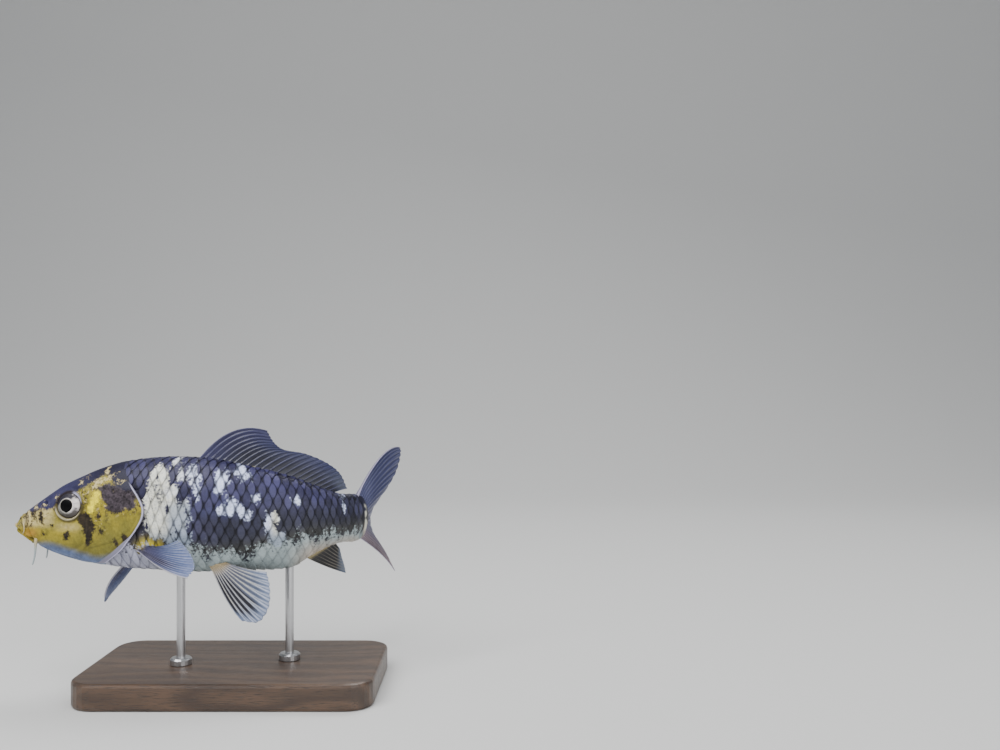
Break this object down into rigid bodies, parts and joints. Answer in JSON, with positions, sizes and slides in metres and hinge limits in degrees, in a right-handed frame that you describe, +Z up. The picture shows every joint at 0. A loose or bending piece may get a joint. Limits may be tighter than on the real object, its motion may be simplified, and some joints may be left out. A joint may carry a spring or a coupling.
{
  "type": "koi carp",
  "caption": "Life-size still model of a young koi carp gliding with its tail swept aside, on two thin rods over a flat display base.",
  "frame": {"origin": "middle of the underside of the display base, where the model meets the surface it stands on", "axes": "+Z up, +X from the snout towards the tail along the middle of the trunk, +Y towards the fish's right side, to which the tail is swept"},
  "size_m": [0.1716, 0.0998, 0.1222],
  "materials": {
    "head_skin": "wet gloss",
    "scaled_skin": "wet gloss",
    "fin_skin": "satin",
    "eye": "polished",
    "base_wood": "satin",
    "rod_steel": "brushed"
  },
  "bodies": {
    "root": {"head": "head_skin", "lower_jaw": "head_skin", "gill_cover_left": "head_skin", "gill_cover_right": "head_skin", "eye_left": "eye", "eye_right": "eye", "barbel_left": "head_skin", "barbel_right": "head_skin", "lip_barbel_left": "head_skin", "lip_barbel_right": "head_skin", "trunk": "scaled_skin", "tail_stalk": "scaled_skin", "dorsal_fin": "fin_skin", "anal_fin": "fin_skin", "caudal_fin": "fin_skin", "pectoral_fin_left": "fin_skin", "pectoral_fin_right": "fin_skin", "pelvic_fin_left": "fin_skin", "pelvic_fin_right": "fin_skin", "stand_base": "base_wood", "stand_rod_front": "rod_steel", "stand_rod_rear": "rod_steel"}
  },
  "joints": []
}
